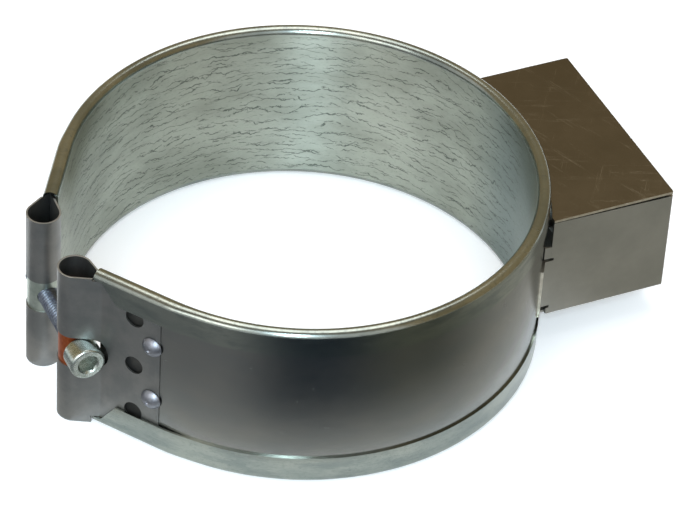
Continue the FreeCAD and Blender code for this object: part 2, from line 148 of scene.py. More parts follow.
def apply_modifiers(piece):
    graph = bpy.context.evaluated_depsgraph_get()
    mesh = bpy.data.meshes.new_from_object(piece.evaluated_get(graph))
    piece.modifiers.clear()
    piece.data = mesh


def round_off(piece, angle, bevel):
    """Small rounded edges where asked, and smooth shading up to an angle."""
    if bevel:
        mod = piece.modifiers.new("edge", "BEVEL")
        mod.width, mod.segments, mod.limit_method = bevel*MM, 2, "ANGLE"
        mod.angle_limit = math.radians(35)
        apply_modifiers(piece)
    bm = bmesh.new()
    bm.from_mesh(piece.data)
    limit = math.radians(angle)
    for f in bm.faces:
        f.smooth = True
    for e in bm.edges:
        e.smooth = len(e.link_faces) == 2 and e.calc_face_angle(0) < limit
    bm.to_mesh(piece.data)
    bm.free()
    level = piece.modifiers.new("level", "WEIGHTED_NORMAL")
    level.mode, level.weight, level.keep_sharp = "FACE_AREA", 100, True
    apply_modifiers(piece)


def from_node(node, name, body, material, bevel, zone=None):
    """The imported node's shape with small rounded edges and its outer wall a little further out."""
    bm = bmesh.new()
    bm.from_mesh(nodes[node].data)
    bm.transform(nodes[node].matrix_world)
    bmesh.ops.remove_doubles(bm, verts=bm.verts, dist=1e-6)
    bmesh.ops.dissolve_limit(bm, angle_limit=math.radians(0.5), verts=bm.verts, edges=bm.edges)
    bmesh.ops.scale(bm, vec=(1/MM, 1/MM, 1/MM), verts=bm.verts)
    for v in bm.verts:
        if v.co.x > WALL_FROM:
            share = 0.55 - 0.45*v.co.y/BOX_HY      # from 1.0 at the -Y end to 0.1 at the +Y end
            v.co.x += WALL_OUT*share
    return finish_piece(bm, name, body, material, [node], smooth=32, bevel=bevel, zone=zone)


def tool_prism(points, push):
    """Closed tool: an outline pushed along a vector."""
    bm = bmesh.new()
    face = bm.faces.new([bm.verts.new(p) for p in points])
    ret = bmesh.ops.extrude_face_region(bm, geom=[face])
    pushed = [g for g in ret["geom"] if isinstance(g, bmesh.types.BMVert)]
    bmesh.ops.translate(bm, vec=push, verts=pushed)
    return bm


def tool_round(centre, axis, radius, depth, sides=40):
    """Closed round tool, standing on centre along axis."""
    bm = bmesh.new()
    turn = axis.to_track_quat("Z", "Y").to_matrix().to_4x4()
    bmesh.ops.create_cone(bm, cap_ends=True, segments=sides, radius1=radius, radius2=radius,
                          depth=depth, matrix=Matrix.Translation(centre + axis*(depth/2)) @ turn)
    return bm


def closed_ring(bm, points):
    """Ring of edges through the points."""
    verts = [bm.verts.new(p) for p in points]
    return [bm.edges.new((verts[i - 1], verts[i])) for i in range(len(verts))]


def verts_of(geom):
    return list({v for e in geom if isinstance(e, bmesh.types.BMEdge) for v in e.verts})


def drag(bm, edges, vec):
    """Extrudes a chain or ring of edges along a vector and returns the new edges."""
    ret = bmesh.ops.extrude_edge_only(bm, edges=edges)
    new = [g for g in ret["geom"] if isinstance(g, bmesh.types.BMEdge)]
    bmesh.ops.translate(bm, vec=vec, verts=verts_of(new))
    return new


def sweep_band(bm, edges, flats, steps=220):
    """Sweeps a section ring, drawn at y = 0, round the band and along both flat ends."""
    bmesh.ops.rotate(bm, verts=verts_of(edges), cent=(0, 0, 0), matrix=Matrix.Rotation(ARC_0, 3, "Z"))
    ret = bmesh.ops.spin(bm, geom=edges + verts_of(edges), cent=(0, 0, 0), axis=(0, 0, 1),
                         dvec=(0, 0, 0), angle=ARC_1 - ARC_0, steps=steps)
    last = [g for g in ret["geom_last"] if isinstance(g, bmesh.types.BMEdge)]
    for end, ring in ((HEAD, edges), (NUT, last)):
        at = 0.0
        for stop in flats(end):
            ring = drag(bm, ring, end["along"]*(stop - at))
            at = stop
        bmesh.ops.contextual_create(bm, geom=ring)


# ---------------------------------------------------------------- shader maths
class Val:
    """A shader socket. Arithmetic on it adds Math nodes; node() adds any other."""

    def __init__(self, tree, socket):
        self.tree, self.socket = tree, socket

    def node(self, kind, settings=None, inputs=None, out=0):
        n = self.tree.nodes.new(kind)
        for key, value in (settings or {}).items():
            setattr(n, key, value)
        for key, value in (inputs or {}).items():
            if isinstance(value, Val):
                self.tree.links.new(value.socket, n.inputs[key])
            else:
                n.inputs[key].default_value = value
        return Val(self.tree, n.outputs[out])

    def math(self, operation, a, b=0.0):
        return self.node("ShaderNodeMath", {"operation": operation}, {0: a, 1: b})

    def __add__(self, other): return self.math("ADD", self, other)
    def __radd__(self, other): return self.math("ADD", other, self)
    def __sub__(self, other): return self.math("SUBTRACT", self, other)
    def __rsub__(self, other): return self.math("SUBTRACT", other, self)
    def __mul__(self, other): return self.math("MULTIPLY", self, other)
    def __rmul__(self, other): return self.math("MULTIPLY", other, self)
    def __truediv__(self, other): return self.math("DIVIDE", self, other)

    def between(self, low, high, out_low=0.0, out_high=1.0):
        """Smooth step from out_low to out_high as the value goes from low to high."""
        return self.node("ShaderNodeMapRange", {"interpolation_type": "SMOOTHSTEP", "clamp": True},
                         {"Value": self, "From Min": low, "From Max": high, "To Min": out_low,
                          "To Max": out_high})

    def mix(self, colour_a, colour_b):
        """Colour mix with this value as the factor."""
        return self.node("ShaderNodeMix", {"data_type": "RGBA", "clamp_factor": True},
                         {0: self, 6: colour_a, 7: colour_b}, out=2)

    def noise(self, scale, detail, rough):
        """Noise read at this vector."""
        return self.node("ShaderNodeTexNoise", {}, {"Vector": self, "Scale": scale, "Detail": detail,
                                                    "Roughness": rough})

    def parts(self, count):
        """The first components of this vector."""
        split = self.node("ShaderNodeSeparateXYZ", {}, {0: self})
        return [Val(self.tree, split.socket.node.outputs[i]) for i in range(count)]

    def absolute(self):
        return self.math("ABSOLUTE", self)

    def stretch(self, x, y, z, at=(0, 0, 0)):
        return self.node("ShaderNodeMapping", {}, {"Vector": self, "Scale": (x, y, z), "Location": at})


def srgb(r, g, b):
    """Linear colour from 0-255 display values."""
    def linear(c):
        return c/12.92 if c <= 0.04045 else ((c + 0.055)/1.055)**2.4

    return (linear(r/255), linear(g/255), linear(b/255), 1.0)


class Finish:
    """A material with its shader, the position on the piece in mm, and the way round the band."""

    def __init__(self, name, metallic=1.0, roughness=0.4):
        self.material = bpy.data.materials.new(name)
        self.material.use_nodes = True
        tree = self.material.node_tree
        self.shader = tree.nodes["Principled BSDF"]
        self.shader.inputs["Metallic"].default_value = metallic
        self.shader.inputs["Roughness"].default_value = roughness
        coord = Val(tree, tree.nodes.new("ShaderNodeTexCoord").outputs["Object"])
        self.pos = coord.node("ShaderNodeVectorMath", {"operation": "SCALE"}, {0: coord, "Scale": 1/MM})
        self.x, self.y, self.z = self.pos.parts(3)
        self.tree = tree

    def round_band(self):
        """Vector of distance round the band, height, and radius."""
        angle = self.x.math("ARCTAN2", self.y, self.x)
        radius = self.x.math("SQRT", self.x*self.x + self.y*self.y)
        return self.x.node("ShaderNodeCombineXYZ", {}, {0: angle*BAND_R, 1: self.z, 2: radius})

    def set(self, **sockets):
        """Sets or links the shader's sockets by name, and returns the material."""
        for key, value in sockets.items():
            name = key.replace("_", " ").title()
            if isinstance(value, Val):
                self.tree.links.new(value.socket, self.shader.inputs[name])
            else:
                self.shader.inputs[name].default_value = value
        return self.material

    def bump(self, height, strength, distance):
        """Bump in millimetres of depth."""
        return height.node("ShaderNodeBump", {}, {"Height": height, "Strength": strength,
                                                  "Distance": distance*MM})


# ---------------------------------------------------------------- finishes
CRACK_ROWS = ((3.1, 0.0, 0.075), (4.3, 37.0, 0.055), (2.7, 71.0, 0.06))      # pitch, shift, width


def wavy_cracks(way, s, h):
    """Broken wavy cracks that run round the band, fading near the rims and on one smooth stretch."""
    line = None
    for pitch, shift, wide in CRACK_ROWS:
        long_wave = way.stretch(0.035, 0.05, 0.0, (shift, shift, 0)).noise(1.0, 2.0, 0.5)
        jag = way.stretch(0.30, 0.22, 0.0, (0, shift, 0)).noise(1.0, 4.0, 0.60)
        row = (h + (long_wave - 0.5)*12.0 + (jag - 0.5)*3.4)/pitch
        off = (row.math("FRACT", row) - 0.5).absolute()
        gate = way.stretch(0.14, 0.33, 0.0, (0, shift, 0)).noise(1.0, 3.0, 0.70)
        crack = off.between(wide*0.3, wide, 1.0, 0.0)*gate.between(0.45, 0.56)
        line = crack if line is None else line.math("MAXIMUM", line, crack)
    inside = h.absolute().between(22.5, 25.5, 1.0, 0.35)
    smooth = s.between(-48, -42)*s.between(-8, -4, 0.8, 0.0)
    return line*inside*(1 - smooth)


def galvanised(name, cracks, mottle, tint_a, tint_b, rough):
    """Zinc-coated sheet: cloudy grey with fine specks, and cracked and grained, with a painted reflection
    on one stretch, where cracks isn't 0.
    """
    f = Finish(name, roughness=rough)
    way = f.round_band()
    s, h = way.parts(2)
    cloud = way.stretch(0.03, 0.06, 0.0).noise(1.0, 4.0, 0.6)
    fine = way.stretch(0.9, 2.2, 0.0).noise(1.0, 3.0, 0.6)
    base = cloud.between(0.35, 0.65).mix(tint_a, tint_b)
    if cracks:
        painted_reflection = s.between(-45, -15)*s.between(0, 24, 1.0, 0.0)      # painted reflection: darker and bluer on one stretch of the bore, beside the box
        base = (painted_reflection*0.7).mix(base, srgb(104, 118, 118))
    else:
        patch = way.stretch(0.07, 0.28, 0.0).noise(1.0, 5.0, 0.68)
        base = (patch.between(0.44, 0.64)*0.55).mix(base, srgb(108, 116, 114))
    base = (fine.between(0.5, 0.8)*mottle).mix(base, srgb(92, 100, 98))
    height, grain, relief = fine*0.4, 0.3, 0.08
    if cracks:
        line = wavy_cracks(way, s, h)
        base = (line*cracks).mix(base, srgb(48, 56, 52))
        height, grain, relief = height - line, 0.85, 0.3
    f.set(anisotropic=grain, anisotropic_rotation=0.25)
    return f.set(base_color=base, roughness=rough - 0.05 + fine*0.14,
                 normal=f.bump(height, relief, 0.1))


def cover_steel():
    """Smooth rolled sheet with faint rubbed clouds and a fine grain round the band."""
    f = Finish("rolled_cover_steel", roughness=0.34)
    way = f.round_band()
    cloud = way.stretch(0.03, 0.06, 0.0).noise(1.0, 4.0, 0.6)
    rub = way.stretch(0.25, 0.5, 0.0).noise(1.0, 5.0, 0.65)
    fine = way.stretch(0.3, 3.0, 0.0).noise(1.0, 3.0, 0.6)
    base = cloud.between(0.3, 0.7).mix(srgb(130, 133, 131), srgb(140, 140, 135))
    base = (rub.between(0.5, 0.8)*0.25).mix(base, srgb(102, 104, 102))
    f.set(anisotropic=0.3, anisotropic_rotation=0.25)
    return f.set(base_color=base, roughness=0.19 + rub*0.12, normal=f.bump(fine, 0.05, 0.05))


def plain_metal(name, colour_a, colour_b, rough, scale=0.3):
    """Sheet or turned metal with cloudy colour and light rubbing."""
    f = Finish(name, roughness=rough)
    cloud = f.pos.noise(scale, 4.0, 0.6)
    fine = f.pos.noise(scale*9, 3.0, 0.6)
    base = cloud.between(0.3, 0.7).mix(colour_a, colour_b)
    return f.set(base_color=base, roughness=rough - 0.06 + fine*0.14, normal=f.bump(fine, 0.1, 0.05))


def scratched(name, colour_a, colour_b, rough, marks):
    """Sheet with a few long fine scratches, at several angles."""
    f = Finish(name, roughness=rough)
    cloud = f.pos.noise(0.05, 4.0, 0.6)
    fine = f.pos.noise(2.2, 3.0, 0.6)
    base = cloud.between(0.3, 0.7).mix(colour_a, colour_b)
    base = (fine.between(0.55, 0.8)*0.2).mix(base, srgb(70, 62, 48))
    total = None
    for turn, shift in ((22, 3.0), (-35, 11.0), (68, 29.0)):
        a = math.radians(turn)
        across = f.x*math.cos(a) + f.y*math.sin(a)
        down = f.y*math.cos(a) - f.x*math.sin(a)
        line = f.x.node("ShaderNodeCombineXYZ", {}, {0: across*1.6, 1: down*0.03, 2: f.z*0.3 + shift})
        mark = (line.noise(1.0, 2.0, 0.5) - 0.5).absolute().between(0.002, 0.012, 1.0, 0.0)
        gate = line.stretch(0.25, 1.6, 1.0).noise(1.0, 2.0, 0.5).between(0.56, 0.66)
        total = mark*gate if total is None else total.math("MAXIMUM", total, mark*gate)
    base = (total*marks).mix(base, srgb(150, 142, 124))
    return f.set(base_color=base, roughness=rough - 0.05 + fine*0.1 + total*0.1,
                 normal=f.bump(fine*0.2 - total, 0.15, 0.04))


def mineral(name, colour_a, colour_b, rough):
    """Mica or fired ceramic: cloudy, matt and not metallic."""
    f = Finish(name, metallic=0.0, roughness=rough)
    cloud = f.pos.noise(0.5, 5.0, 0.65)
    return f.set(base_color=cloud.between(0.3, 0.7).mix(colour_a, colour_b), normal=f.bump(cloud, 0.2, 0.1))


BORE_ZINC = galvanised("galvanised_bore", 0.7, 0.25, srgb(144, 149, 138), srgb(163, 168, 157), 0.38)
HEM_ZINC = galvanised("galvanised_hem", 0.0, 0.5, srgb(132, 138, 132), srgb(149, 153, 144), 0.22)
COVER = cover_steel()
LOOP = plain_metal("clamp_strip_steel", srgb(119, 121, 120), srgb(136, 136, 133), 0.44, 0.12)
RIVET = plain_metal("rivet_steel", srgb(122, 124, 130), srgb(142, 144, 150), 0.42, 0.5)
COPPER = plain_metal("coppered_barrel", srgb(160, 78, 42), srgb(192, 106, 62), 0.38, 0.4)
ZINC_PALE = plain_metal("pale_zinc", srgb(156, 166, 156), srgb(178, 186, 176), 0.40, 0.4)
SCREW = plain_metal("screw_zinc", srgb(150, 160, 152), srgb(182, 188, 182), 0.26, 0.6)
# the head's zinc, painted darker and bluer on the thread as shade
SHADED_THREAD_ZINC = plain_metal("painted_shade_thread_zinc", srgb(108, 114, 128), srgb(136, 142, 150), 0.28, 0.6)
BOX = plain_metal("box_steel", srgb(150, 150, 144), srgb(161, 160, 154), 0.36, 0.06)
LID = scratched("lid_steel", srgb(96, 89, 75), srgb(104, 97, 83), 0.30, 0.3)
CUT_EDGE = plain_metal("bright_cut_edge", srgb(176, 170, 156), srgb(198, 192, 178), 0.3, 0.8)
# dark amber mica, painted darker still as the shade at the bottom of the tab's holes
MICA_AND_HOLE_SHADE = mineral("mica_and_hole_shade", srgb(34, 34, 32), srgb(46, 43, 38), 0.6)
RIBBON = plain_metal("ribbon_alloy", srgb(120, 116, 112), srgb(140, 136, 130), 0.4)
NICKEL = plain_metal("nickel_strip", srgb(180, 178, 168), srgb(196, 192, 182), 0.3)
CERAMIC = mineral("steatite", srgb(222, 218, 204), srgb(236, 232, 220), 0.55)
BRASS = plain_metal("turned_brass", srgb(190, 160, 90), srgb(208, 178, 110), 0.3)
SMALL = plain_metal("small_screw_zinc", srgb(160, 164, 160), srgb(184, 186, 182), 0.3)
ENTRY = plain_metal("entry_nickel_brass", srgb(176, 170, 150), srgb(196, 190, 172), 0.28)


def depth(point):
    """Distance out from the band axis, measured square to the wall."""
    angle = math.atan2(point.y, point.x)
    for end, past in ((HEAD, angle < ARC_0), (NUT, angle > ARC_1)):
        if past:
            return point.dot(end["out"])
    return point.xy.length


def bore_or_hem(point, normal):
    """0 for the bore, in the cracked zinc; 1 for the rims, hems and hidden side, in the smooth one."""
    return 0 if depth(point) < BORE_R + 0.3 and abs(point.z) < TOP - 2.2 else 1


# ---------------------------------------------------------------- sheath with folded rims
def rim_section(bm):
    """Section of the sheath at y = 0: the bore wall with both rims folded outwards and round."""
    b, t, s = BOTTOM, TOP, SHEET
    points = [(BORE_R, b), (BORE_R, t), (HEM_R, t), (HEM_R, t - HEM_TOP), (HEM_R - s, t - HEM_TOP),
              (HEM_R - s, t - s), (BORE_R + s, t - s), (BORE_R + s, b + s), (HEM_R - s, b + s),
              (HEM_R - s, b + HEM_BOTTOM), (HEM_R, b + HEM_BOTTOM), (HEM_R, b)]
    verts = [bm.verts.new((n, 0, z)) for n, z in points]
    bm.faces.new(verts)
    half = (HEM_R - BORE_R)/2
    for group, radius in (((0, 1, 2, 11), half - 0.01), ((5, 6, 7, 8), half - s - 0.01)):
        bmesh.ops.bevel(bm, geom=[verts[i] for i in group], offset=radius, offset_type="OFFSET",
                        segments=8, profile=0.5, affect="VERTICES", material=-1)
    bmesh.ops.delete(bm, geom=list(bm.faces), context="FACES_ONLY")
    return list(bm.edges)


def raise_hems(bm):
    """Lifts the hems by one leaf where they pass over the tabs, in a long easy ramp."""
    inner = BORE_R + SHEET
    for v in bm.verts:
        angle = math.atan2(v.co.y, v.co.x)
        end = HEAD if angle < 0 else NUT
        start = angle - ARC_0 if end is HEAD else ARC_1 - angle
        u = -start*BORE_R if start > 0 else v.co.dot(end["along"])
        t = min(1.0, max(0.0, (u + HEM_RAMP)/(tab_edge(end) + HEM_RAMP)))
        n = v.co.xy.length if start > 0 else v.co.dot(end["out"])
        share = min(1.0, max(0.0, (n - inner)/(COVER_R1 - inner)))
        outward = v.co.xy.normalized().to_3d() if start > 0 else end["out"]
        v.co += outward*LEAF*share*t*t*(3 - 2*t)


def sheath():
    """Bore wall with folded hems, raised over the tabs and mitred beside the loops."""
    bm = bmesh.new()
    edges = rim_section(bm)

    def flats(end):
        top = tab_edge(end)
        return (top/3, top*2/3, top, end["run"] - END_BACK)

    sweep_band(bm, edges, flats)
    raise_hems(bm)
    rim = (HEM_R + LEAF - BORE_R)/2
    hems = ((TOP - HEM_TOP, TOP - rim, -1), (BOTTOM + HEM_BOTTOM, BOTTOM + rim, 1))
    cuts = []
    for end in (HEAD, NUT):
        far, near = end["run"] - MITRE_FAR, end["run"] - MITRE_NEAR
        past = end["run"] - END_BACK + 1
        for edge, root, over in hems:
            mitre = [(near, root), (far, edge), (far, edge + over), (past, edge + over), (past, root)]
            cuts.append(tool_prism([on_flat(end, u, COVER_R1 + LEAF - 0.2, z) for u, z in mitre],
                                   end["out"]*2.0))
    return finish_piece(bm, "hemmed_sheath", "heater", [BORE_ZINC, HEM_ZINC],
                        ["inner_sheath"], cuts=cuts, zone=bore_or_hem)


# ---------------------------------------------------------------- cover
def cover():
    """Smooth sheet under the hems, holed behind each tab's holes."""
    bm = bmesh.new()
    low, high = BOTTOM + COVER_IN, TOP - COVER_IN
    section = ((COVER_R0, low), (COVER_R1, low), (COVER_R1, high), (COVER_R0, high))
    edges = closed_ring(bm, [(n, 0, z) for n, z in section])
    sweep_band(bm, edges, lambda end: (end["run"] - WINDOW_BACK - 1.2,))
    cuts = [tool_round(on_flat(end, end["run"] - HOLE_BACK, 66.9, PATTERN_Z + k*HOLE_PITCH), end["out"],
                       HOLE_R + 0.3, 2.5) for end in (HEAD, NUT) for k in (-1, 0, 1)]
    return finish_piece(bm, "cover_sheet", "heater", COVER, ["outer_cover"], cuts=cuts)


# ---------------------------------------------------------------- clamp loops
def strip_path(bm, end):
    """Middle line of the folded strip, from the tab's end round the barrel to the hidden end."""
    r, a = LOOP_R - LEAF/2, LOOP_ANGLE

    def at(u, n):
        return on_flat(end, end["run"] + u, LOOP_MID + n, LOOP_Z0)

    def bend_start(height):
        return -((r + LOOP_BEND) - (height + LOOP_BEND)*math.cos(a))/math.sin(a)

    def straight(v, to):
        new = bm.verts.new(to)
        bm.edges.new((v, new))
        return new

    def bend(v, centre, angle, steps):
        ret = bmesh.ops.spin(bm, geom=[v], cent=centre, axis=(0, 0, 1), dvec=(0, 0, 0),
                             angle=end["sign"]*angle, steps=steps)
        return [g for g in ret["geom_last"] if isinstance(g, bmesh.types.BMVert)][0]

    up, down = bend_start(LEAF_UP), bend_start(LEAF_DOWN)
    v = bm.verts.new(at(-TAB_LEN[end["sign"]], LEAF_UP))
    v = straight(v, at(up, LEAF_UP))
    v = bend(v, at(up, LEAF_UP + LOOP_BEND), -a, 8)
    v = straight(v, at(-r*math.sin(a), r*math.cos(a)))
    v = bend(v, at(0, 0), math.pi + 2*a, 56)
    v = straight(v, at(down + LOOP_BEND*math.sin(a), -(LEAF_DOWN + LOOP_BEND*(1 - math.cos(a)))))
    v = bend(v, at(down, -(LEAF_DOWN + LOOP_BEND)), -a, 8)
    straight(v, at(-RETURN_LEN, -LEAF_DOWN))


def clamp_loop(end, name, node):
    """Folded strip with its leaves trimmed to fit under the hems, a screw window and three holes."""
    bm = bmesh.new()
    strip_path(bm, end)
    drag(bm, list(bm.edges), Vector((0, 0, LOOP_Z1 - LOOP_Z0)))
    bmesh.ops.remove_doubles(bm, verts=bm.verts, dist=1e-4)
    bmesh.ops.recalc_face_normals(bm, faces=bm.faces)
    bmesh.ops.solidify(bm, geom=list(bm.faces), thickness=LEAF)
    stop = end["run"] - END_BACK + 0.2
    leaves = ((-5, 60), (stop, 60), (stop, 75), (-5, 75))      # round both leaves, as run and distance out
    cuts = [tool_prism([on_flat(end, u, n, z0) for u, n in leaves], Vector((0, 0, z1 - z0)))
            for z0, z1 in ((BOTTOM - 1, TAB_Z0), (TAB_Z1, TOP + 6))]
    half = WINDOW_H/2
    back, past = end["run"] - WINDOW_BACK + half, end["run"] + 8
    low, high = SCREW_Z - half, SCREW_Z + half
    window = ((back, low), (back, high), (past, high), (past, low))
    cuts.append(tool_prism([on_flat(end, u, LOOP_MID - THROUGH, z) for u, z in window],
                           end["out"]*2*THROUGH))
    cuts.append(tool_round(on_flat(end, back, LOOP_MID - THROUGH, SCREW_Z), end["out"], half - 0.005,
                           2*THROUGH, 48))
    for k in (-1, 0, 1):
        cuts.append(tool_round(on_flat(end, end["run"] - HOLE_BACK, LOOP_MID, PATTERN_Z + k*HOLE_PITCH),
                               end["out"], HOLE_R, 3))
    return finish_piece(bm, name, "heater", LOOP, [node], cuts=cuts, smooth=40, bevel=0.06)


# ---------------------------------------------------------------- rivets
def rivets(end, name, node):
    """Two domed heads on a tab, each with a small pit."""
    bm = bmesh.new()
    cap = (RIVET_R**2 + RIVET_H**2)/(2*RIVET_H)
    for k in (-1, 1):
        dome = bmesh.new()
        bmesh.ops.create_uvsphere(dome, u_segments=40, v_segments=36, radius=cap)
        bmesh.ops.translate(dome, vec=(0, 0, RIVET_H - cap), verts=dome.verts)
        low = bmesh.ops.bisect_plane(dome, geom=dome.verts[:] + dome.edges[:] + dome.faces[:],
                                     plane_co=(0, 0, 0), plane_no=(0, 0, 1), clear_inner=True)
        rim = [g for g in low["geom_cut"] if isinstance(g, bmesh.types.BMEdge)]
        drag(dome, rim, Vector((0, 0, -RIVET_SKIRT)))
        for v in dome.verts:
            if v.co.z > 0 and v.co.xy.length < PIT_R:
                v.co.z -= PIT_DEPTH
        turn = end["out"].to_track_quat("Z", "Y").to_matrix().to_4x4()
        seat = on_flat(end, end["run"] - RIVET_BACK, COVER_R1 + LEAF, PATTERN_Z + k*RIVET_PITCH)
        dome.transform(Matrix.Translation(seat) @ turn)
        bmesh.ops.holes_fill(dome, edges=[e for e in dome.edges if e.is_boundary])
        mesh = bpy.data.meshes.new("dome")
        dome.to_mesh(mesh)
        dome.free()
        bm.from_mesh(mesh)
        bpy.data.meshes.remove(mesh)
    return finish_piece(bm, name, "heater", RIVET, [node], smooth=50)


# ---------------------------------------------------------------- barrels and screw
def barrel(end, hole, name, node, material):
    """Cross barrel in its loop, with rounded rims and the screw's hole."""
    bm = bmesh.new()
    bmesh.ops.create_cone(bm, cap_ends=True, segments=72, radius1=BARREL_R, radius2=BARREL_R,
                          depth=2*BARREL_HALF, matrix=Matrix.Translation((LOOP_X, end["y"], SCREW_Z)))
    rims = [e for e in bm.edges if len({abs(f.normal.z) > 0.5 for f in e.link_faces}) == 2]
    bmesh.ops.bevel(bm, geom=rims, offset=BARREL_EDGE, offset_type="OFFSET", segments=3, profile=0.5,
                    affect="EDGES", material=-1)
    cuts = [tool_round(Vector((LOOP_X, end["y"] - 10, SCREW_Z)), Vector((0, 1, 0)), hole, 20, 64)]
    return finish_piece(bm, name, "heater", material, [node], cuts=cuts, smooth=30, bevel=0.08)


def threaded_shank():
    """Thread wound from the outline of one pitch and cut square at both ends."""
    bm = bmesh.new()
    crest = MAJOR_R - 0.03
    ridge = ((MINOR_R, 0.0), (MINOR_R, 0.12), (crest, 0.44), (crest, 0.56), (MINOR_R, 0.88),
             (MINOR_R, 1.0))
    verts = [bm.verts.new((r, y*PITCH, 0)) for r, y in ridge]
    chain = [bm.edges.new((a, b)) for a, b in zip(verts, verts[1:])]
    turns = int(SCREW_LEN/PITCH) + 2
    per_turn = 28
    bmesh.ops.spin(bm, geom=chain + verts, cent=(0, 0, 0), axis=(0, 1, 0), angle=2*math.pi*turns,
                   steps=per_turn*turns, dvec=(0, PITCH/per_turn, 0))
    bmesh.ops.remove_doubles(bm, verts=bm.verts, dist=1e-3)
    for at, way in ((PITCH, -1), (SCREW_LEN + PITCH, 1)):
        cut = bmesh.ops.bisect_plane(bm, geom=bm.verts[:] + bm.edges[:] + bm.faces[:], plane_co=(0, at, 0),
                                     plane_no=(0, way, 0), clear_outer=True)
        edges = [g for g in cut["geom_cut"] if isinstance(g, bmesh.types.BMEdge)]
        bmesh.ops.contextual_create(bm, geom=edges)
    bmesh.ops.translate(bm, vec=(LOOP_X, SCREW_SEAT - PITCH, SCREW_Z), verts=bm.verts)
    finish_piece(bm, "threaded_shank", "screw", SHADED_THREAD_ZINC, smooth=35)


def socket_head():
    """Screw head with a rounded front edge and a hexagon socket led in by a cone."""
    bm = bmesh.new()
    to_y = Matrix.Rotation(math.radians(-90), 4, "X")
    bmesh.ops.create_cone(bm, cap_ends=True, segments=72, radius1=HEAD_R, radius2=HEAD_R, depth=HEAD_H,
                          matrix=Matrix.Translation((0, -HEAD_H/2, 0)) @ to_y)
    front = [f for f in bm.faces if f.normal.y < -0.9][0]
    bmesh.ops.bevel(bm, geom=list(front.edges), offset=HEAD_EDGE, offset_type="OFFSET", segments=4,
                    profile=0.5, affect="EDGES", material=-1)
    bmesh.ops.translate(bm, vec=(LOOP_X, SCREW_SEAT, SCREW_Z), verts=bm.verts)
    corner = KEY_AF/math.sqrt(3)
    face = SCREW_SEAT - HEAD_H
    key = [Vector((LOOP_X + corner*math.cos(math.radians(60*k)), face - 1,
                   SCREW_Z + corner*math.sin(math.radians(60*k)))) for k in range(6)]
    cone = bmesh.new()
    bmesh.ops.create_cone(cone, cap_ends=True, segments=48, radius1=KEY_AF/2 + 1.4,
                          radius2=KEY_AF/2 - 0.2, depth=KEY_LEAD,
                          matrix=Matrix.Translation((LOOP_X, face, SCREW_Z)) @ to_y)
    cuts = [tool_prism(key, Vector((0, KEY_DEPTH + 1, 0))), cone]
    finish_piece(bm, "socket_head", "screw", SCREW, ["clamp_screw"], cuts=cuts, smooth=35)


# ---------------------------------------------------------------- all pieces
sheath()
cover()
clamp_loop(HEAD, "front_loop_strip", "front_clamp_loop")
clamp_loop(NUT, "rear_loop_strip", "rear_clamp_loop")
rivets(HEAD, "front_rivets", "front_loop_rivets")
rivets(NUT, "rear_rivets", "rear_loop_rivets")
barrel(HEAD, 3.3, "coppered_cross_barrel", "head_barrel", COPPER)
barrel(NUT, 3.05, "threaded_cross_barrel", "thread_barrel", ZINC_PALE)
threaded_shank()
socket_head()


def foot_edge(point, normal):
    """1 for the sheared edges of the two feet, which are bright."""
    on_foot = abs(point.y) > BOX_HY + 0.2 and abs(normal.z) < 0.5
    return 1 if on_foot and abs(normal.dot(point.xy.normalized().to_3d())) < 0.5 else 0


from_node("box_housing", "box_shell", "heater", [BOX, CUT_EDGE], 0.1, zone=foot_edge)
for side, which in ((-1, "near"), (1, "far")):
    plate = bmesh.new()
    middle = Matrix.Translation((SHOULDER_X, side*(BOX_HY - SHOULDER_IN), SHOULDER_Z))
    bmesh.ops.create_cube(plate, size=1, matrix=middle @ Matrix.Diagonal((*SHOULDER, 1)))
    finish_piece(plate, "foot_shoulder_%s" % which, "heater", BOX)
from_node("box_lid", "lid_plate", "lid", [LID, CUT_EDGE], 0.1,
          zone=lambda point, normal: 1 if abs(normal.z) < 0.8 else 0)

HIDDEN = {"inner_mica": MICA_AND_HOLE_SHADE, "outer_mica": MICA_AND_HOLE_SHADE, "resistance_ribbon": RIBBON, "element_leads": NICKEL,
          "terminal_block": CERAMIC, "terminal_clamps": BRASS, "terminal_screws": SMALL,
          "block_screw": SMALL, "earth_screw": SMALL, "entry_bush": ENTRY, "bush_nut": ENTRY}
for node, material in HIDDEN.items():
    nodes[node].data.materials.clear()
    nodes[node].data.materials.append(material)


# ---------------------------------------------------------------- floor, light and camera
YAW = 25.329                                      # the camera is turned this far from -Y, in degrees
FRONT = math.radians(-90 - YAW)                   # direction from the part to the camera
FLOOR_GLOW = 0.24                                 # whitens the floor where it is seen
WORLD_LIGHT = 0.55                                # world on the part; it is 1, or white, where it is seen


def stage_object(name, bm, material):
    """Turns a bmesh in metres into a thing of the stage, which isn't part of the model."""
    mesh = bpy.data.meshes.new(name)
    bm.to_mesh(mesh)
    bm.free()
    mesh.materials.append(material)
    ob = bpy.data.objects.new(name, mesh)
    bpy.context.scene.collection.objects.link(ob)
    return ob


def stage_material(name, base):
    """Matt material that mirrors nothing and may glow."""
    material = bpy.data.materials.new(name)
    material.use_nodes = True
    shader = material.node_tree.nodes["Principled BSDF"]
    shader.inputs["Base Color"].default_value = (base, base, base, 1)
    shader.inputs["Specular IOR Level"].default_value = 0.0
    shader.inputs["Emission Strength"].default_value = 1.0
    return material, material.node_tree, shader


def seen_rays(tree):
    """1 for camera, glossy and transmission rays, 0 for the rays that light the part."""
    path = tree.nodes.new("ShaderNodeLightPath")
    names = ("Is Camera Ray", "Is Glossy Ray", "Is Transmission Ray")
    camera, glossy, through = (Val(tree, path.outputs[name]) for name in names)
    either = camera.math("MAXIMUM", camera, glossy)
    return either.math("MAXIMUM", either, through)


